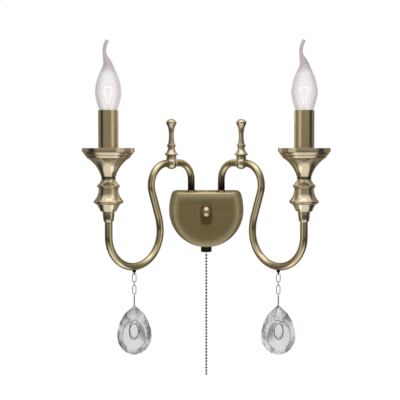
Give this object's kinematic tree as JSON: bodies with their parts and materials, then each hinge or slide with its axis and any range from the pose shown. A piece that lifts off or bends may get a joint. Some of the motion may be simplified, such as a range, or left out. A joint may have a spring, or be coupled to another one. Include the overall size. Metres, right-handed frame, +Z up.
{
  "type": "wall light",
  "caption": "Antique brass wall light with scroll arms, candle tubes and drip pans, bent tip candle lamps, faceted glass drops and a bead chain pull switch.",
  "frame": {"origin": "on the wall plane, on the axis of the stud that holds the back pan, midway between the two wall screw slots", "axes": "+X to the right seen from the room, +Y into the wall, +Z up"},
  "size_m": [0.3224, 0.1539, 0.4709],
  "materials": {
    "plate_brass": "antique brass, brushed along X, clear lacquer",
    "turned_brass": "antique brass, satin, turned",
    "tube_brass": "antique brass, satin, drawn tube",
    "chain_brass": "dark antique brass",
    "dark_metal": "black brown, satin",
    "steel": "zinc plated",
    "white_plastic": "moulded, matt",
    "lead_sheath": "sheathed lead",
    "lamp_glass": "clear blown glass",
    "filament_wire": "drawn wire",
    "link_chrome": "bright",
    "crystal": "polished facets"
  },
  "bodies": {
    "fixture": {"backplate": "plate_brass", "wall_bracket": "steel", "bracket_stud": "steel", "bracket_nut": "steel", "lock_washers": "steel", "root_nuts": "steel", "terminal_block": "white_plastic", "switch_housing": "white_plastic", "terminal_screws": "steel", "switch_collar": "dark_metal", "pendant_eyelets": "dark_metal", "left_root_tube": "tube_brass", "right_root_tube": "tube_brass", "left_scroll_tube": "tube_brass", "right_scroll_tube": "tube_brass", "left_candle_tube": "tube_brass", "right_candle_tube": "tube_brass", "left_junction_ball": "turned_brass", "right_junction_ball": "turned_brass", "left_finial": "turned_brass", "right_finial": "turned_brass", "arm_collars": "turned_brass", "left_ferrule": "turned_brass", "right_ferrule": "turned_brass", "left_cup": "turned_brass", "right_cup": "turned_brass", "left_bell": "turned_brass", "right_bell": "turned_brass", "left_drip_pan": "turned_brass", "right_drip_pan": "turned_brass", "candle_nipples": "turned_brass", "holder_contacts": "turned_brass", "left_lampholder": "white_plastic", "right_lampholder": "white_plastic", "arm_leads": "lead_sheath", "switch_lead": "lead_sheath", "switch_spring": "steel"},
    "left_lamp": {"left_bulb_glass": "lamp_glass", "left_bulb_cap": "turned_brass", "left_bulb_stem": "lamp_glass", "left_filament": "filament_wire"},
    "left_upper_link": {"left_upper_link": "link_chrome"},
    "left_link_ring": {"left_link_ring": "link_chrome"},
    "left_lower_link": {"left_lower_link": "link_chrome"},
    "left_drop_pin": {"left_drop_pin": "link_chrome"},
    "left_crystal_drop": {"left_crystal_drop": "crystal"},
    "right_lamp": {"right_bulb_glass": "lamp_glass", "right_bulb_cap": "turned_brass", "right_bulb_stem": "lamp_glass", "right_filament": "filament_wire"},
    "right_upper_link": {"right_upper_link": "link_chrome"},
    "right_link_ring": {"right_link_ring": "link_chrome"},
    "right_lower_link": {"right_lower_link": "link_chrome"},
    "right_drop_pin": {"right_drop_pin": "link_chrome"},
    "right_crystal_drop": {"right_crystal_drop": "crystal"},
    "plate_knob": {"plate_knob": "turned_brass"},
    "switch_plunger": {"switch_plunger": "steel"},
    "chain_upper": {"chain_upper": "chain_brass"},
    "chain_middle": {"chain_middle": "chain_brass"},
    "chain_lower": {"chain_lower": "chain_brass"}
  },
  "joints": [
    {"name": "knob_turn", "type": "hinge", "parent": "fixture", "child": "plate_knob", "pos_m": [0, -0.0325, 0], "axis": [0, -1, 0], "range_deg": [0, 1080]},
    {"name": "chain_pull", "type": "slide", "parent": "fixture", "child": "switch_plunger", "axis": [0, 0, -1], "range_m": [0, 0.008], "stiffness_N_per_m": 900, "springref_m": -0.004, "deforming": ["switch_spring"]},
    {"name": "chain_swing_out", "type": "hinge", "parent": "switch_plunger", "child": "chain_upper", "pos_m": [0, -0.0145, -0.0572], "axis": [-1, 0, 0], "range_deg": [-4, 45]},
    {"name": "chain_bend_side", "type": "hinge", "parent": "chain_upper", "child": "chain_middle", "pos_m": [0, -0.0145, -0.11932], "axis": [0, 1, 0], "range_deg": [-50, 50]},
    {"name": "chain_bend_out", "type": "hinge", "parent": "chain_middle", "child": "chain_lower", "pos_m": [0, -0.0145, -0.1786], "axis": [-1, 0, 0], "range_deg": [-12, 40]},
    {"name": "left_lamp_turn", "type": "hinge", "parent": "fixture", "child": "left_lamp", "pos_m": [-0.12725, -0.12, 0.104], "axis": [0, 0, 1], "range_deg": [0, 1080]},
    {"name": "left_upper_link_swing", "type": "hinge", "parent": "fixture", "child": "left_upper_link", "pos_m": [-0.09706, -0.08981, -0.07985], "axis": [0, 1, 0], "range_deg": [-35, 35]},
    {"name": "left_link_ring_swing", "type": "hinge", "parent": "left_upper_link", "child": "left_link_ring", "pos_m": [-0.09706, -0.08981, -0.08977], "axis": [1, 0, 0], "range_deg": [-35, 35]},
    {"name": "left_lower_link_swing", "type": "hinge", "parent": "left_link_ring", "child": "left_lower_link", "pos_m": [-0.09706, -0.08981, -0.09519], "axis": [0, 1, 0], "range_deg": [-30, 30]},
    {"name": "left_drop_pin_swing", "type": "hinge", "parent": "left_lower_link", "child": "left_drop_pin", "pos_m": [-0.09706, -0.08981, -0.10621], "axis": [1, 0, 0], "range_deg": [-30, 30]},
    {"name": "left_crystal_drop_swing", "type": "hinge", "parent": "left_drop_pin", "child": "left_crystal_drop", "pos_m": [-0.09706, -0.08981, -0.12458], "axis": [0, 1, 0], "range_deg": [-20, 20]},
    {"name": "right_lamp_turn", "type": "hinge", "parent": "fixture", "child": "right_lamp", "pos_m": [0.12725, -0.12, 0.104], "axis": [0, 0, 1], "range_deg": [0, 1080]},
    {"name": "right_upper_link_swing", "type": "hinge", "parent": "fixture", "child": "right_upper_link", "pos_m": [0.09706, -0.08981, -0.07985], "axis": [0, 1, 0], "range_deg": [-35, 35]},
    {"name": "right_link_ring_swing", "type": "hinge", "parent": "right_upper_link", "child": "right_link_ring", "pos_m": [0.09706, -0.08981, -0.08977], "axis": [1, 0, 0], "range_deg": [-35, 35]},
    {"name": "right_lower_link_swing", "type": "hinge", "parent": "right_link_ring", "child": "right_lower_link", "pos_m": [0.09706, -0.08981, -0.09519], "axis": [0, 1, 0], "range_deg": [-30, 30]},
    {"name": "right_drop_pin_swing", "type": "hinge", "parent": "right_lower_link", "child": "right_drop_pin", "pos_m": [0.09706, -0.08981, -0.10621], "axis": [1, 0, 0], "range_deg": [-30, 30]},
    {"name": "right_crystal_drop_swing", "type": "hinge", "parent": "right_drop_pin", "child": "right_crystal_drop", "pos_m": [0.09706, -0.08981, -0.12458], "axis": [0, 1, 0], "range_deg": [-20, 20]}
  ]
}
